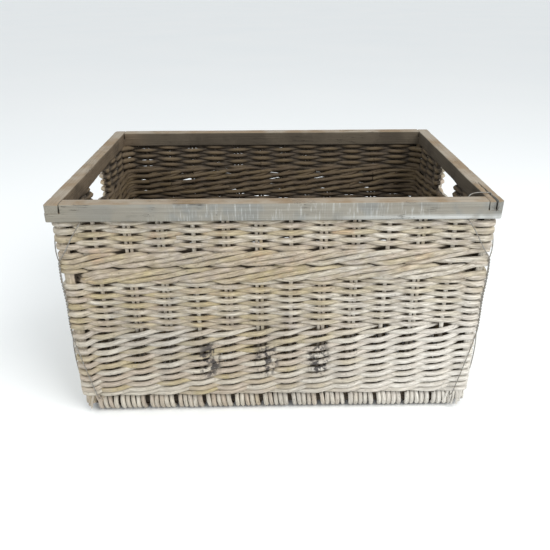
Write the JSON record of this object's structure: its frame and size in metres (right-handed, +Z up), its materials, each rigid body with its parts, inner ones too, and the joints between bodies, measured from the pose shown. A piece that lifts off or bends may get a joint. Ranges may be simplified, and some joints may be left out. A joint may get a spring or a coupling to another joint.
{
  "type": "log basket",
  "caption": "Open rectangular willow basket with plumb woven walls, a half-lapped timber rim, a hand-hold under each short rail, a looped base edge and wire-tied corners",
  "frame": {"origin": "on the floor under the middle of the basket", "axes": "+X to the right along the long front, +Y to the back, +Z up"},
  "size_m": [0.8, 0.556, 0.4604],
  "materials": {
    "rim_timber": "weathered bare timber, greyed and scratched, worn brown along the top",
    "willow_weave": "bare willow rods, bleached outside and brown inside, dull",
    "willow_stakes": "bare willow sticks, dull",
    "tie_wire": "old iron wire, dark with some rust"
  },
  "bodies": {
    "root": {"rim_rail_front": "rim_timber", "rim_rail_back": "rim_timber", "rim_rail_left": "rim_timber", "rim_rail_right": "rim_timber", "rim_nails": "tie_wire", "corner_post_front_left": "willow_stakes", "corner_post_front_right": "willow_stakes", "corner_post_back_left": "willow_stakes", "corner_post_back_right": "willow_stakes", "stakes_front": "willow_stakes", "stakes_back": "willow_stakes", "stakes_left": "willow_stakes", "stakes_right": "willow_stakes", "handhold_stakes_left": "willow_stakes", "handhold_stakes_right": "willow_stakes", "foot_band": "willow_weave", "lower_weave": "willow_weave", "middle_weave": "willow_weave", "wale_band": "willow_weave", "upper_weave_front": "willow_weave", "upper_weave_back": "willow_weave", "base_stick_front": "willow_stakes", "base_stick_back": "willow_stakes", "base_inner_sticks": "willow_stakes", "base_edge_front": "willow_weave", "base_edge_back": "willow_weave", "base_end_left": "willow_weave", "base_end_right": "willow_weave", "base_weave": "willow_weave", "corner_tie_front_left": "tie_wire", "corner_tie_front_right": "tie_wire", "corner_tie_back_left": "tie_wire", "corner_tie_back_right": "tie_wire"}
  },
  "joints": []
}
